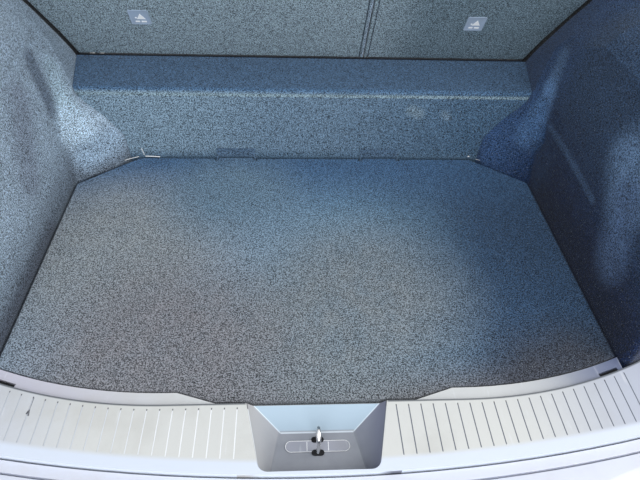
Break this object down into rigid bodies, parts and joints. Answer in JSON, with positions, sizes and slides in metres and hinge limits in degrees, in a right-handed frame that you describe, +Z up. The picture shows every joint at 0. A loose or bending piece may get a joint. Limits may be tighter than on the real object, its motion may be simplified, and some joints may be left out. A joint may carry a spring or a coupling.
{
  "type": "luggage compartment of a compact crossover car",
  "caption": "Rear load space of a compact crossover: lift-up carpeted floor over a spare wheel, moulded side linings, folding seat backs, and a grooved sill with a latch striker.",
  "frame": {"origin": "middle of the rectangle of four rail bolts, on the frame rails' lower faces", "axes": "+X to the car's right, +Y forward into the car, +Z up"},
  "size_m": [1.52, 1.322, 1.1702],
  "materials": {
    "body_primer": "satin electrocoat primer",
    "white_paint": "gloss white body paint",
    "silver_plastic": "light silver grained moulding",
    "grey_plastic": "plain grey moulding",
    "striker_chrome": "polished",
    "needle_carpet": "charcoal needle felt",
    "seat_carpet": "charcoal needle felt on the seat backs",
    "seat_cloth": "black woven seat cloth",
    "foam_tray": "black moulded foam",
    "spare_rubber": "matt black",
    "rim_paint": "satin black",
    "black_plastic": "black moulding",
    "bracket_steel": "black painted steel"
  },
  "bodies": {
    "body_shell": {"floor_pan": "body_primer", "spare_well": "body_primer", "rail_left": "body_primer", "rail_right": "body_primer", "cross_member": "body_primer", "wheelhouse_left": "body_primer", "wheelhouse_right": "body_primer", "rear_panel": "white_paint", "bumper_cover": "white_paint", "scuff_plate": "silver_plastic", "slot_cover": "grey_plastic", "striker": "striker_chrome", "sill_ledge": "grey_plastic", "side_lining_left": "needle_carpet", "side_lining_right": "needle_carpet", "step_riser": "needle_carpet", "tool_tray": "foam_tray", "spare_tyre": "spare_rubber", "spare_rim": "rim_paint", "hold_down": "black_plastic", "hinge_flap_left": "needle_carpet", "hinge_flap_right": "needle_carpet", "seat_bracket_left": "bracket_steel", "seat_bracket_middle": "bracket_steel", "seat_bracket_right": "bracket_steel"},
    "load_floor": {"load_floor": "needle_carpet"},
    "seat_back_wide": {"seat_wide_panel": "seat_carpet", "seat_wide_pad": "seat_cloth", "seat_wide_arms": "bracket_steel", "headrest_left": "seat_cloth", "headrest_centre": "seat_cloth", "posts_left": "striker_chrome", "posts_centre": "striker_chrome", "anchor_cover_left": "grey_plastic"},
    "seat_back_narrow": {"seat_narrow_panel": "seat_carpet", "seat_narrow_pad": "seat_cloth", "seat_narrow_arms": "bracket_steel", "headrest_right": "seat_cloth", "posts_right": "striker_chrome", "anchor_cover_right": "grey_plastic"}
  },
  "joints": [
    {"name": "floor_lift", "type": "hinge", "parent": "body_shell", "child": "load_floor", "pos_m": [0, 0.398, 0.164], "axis": [-1, 0, 0], "range_deg": [0, 40]},
    {"name": "seat_wide_fold", "type": "hinge", "parent": "body_shell", "child": "seat_back_wide", "pos_m": [0, 0.65006, 0.41196], "axis": [-1, 0, 0], "range_deg": [0, 110]},
    {"name": "seat_narrow_fold", "type": "hinge", "parent": "body_shell", "child": "seat_back_narrow", "pos_m": [0, 0.65006, 0.41196], "axis": [-1, 0, 0], "range_deg": [0, 110]}
  ]
}
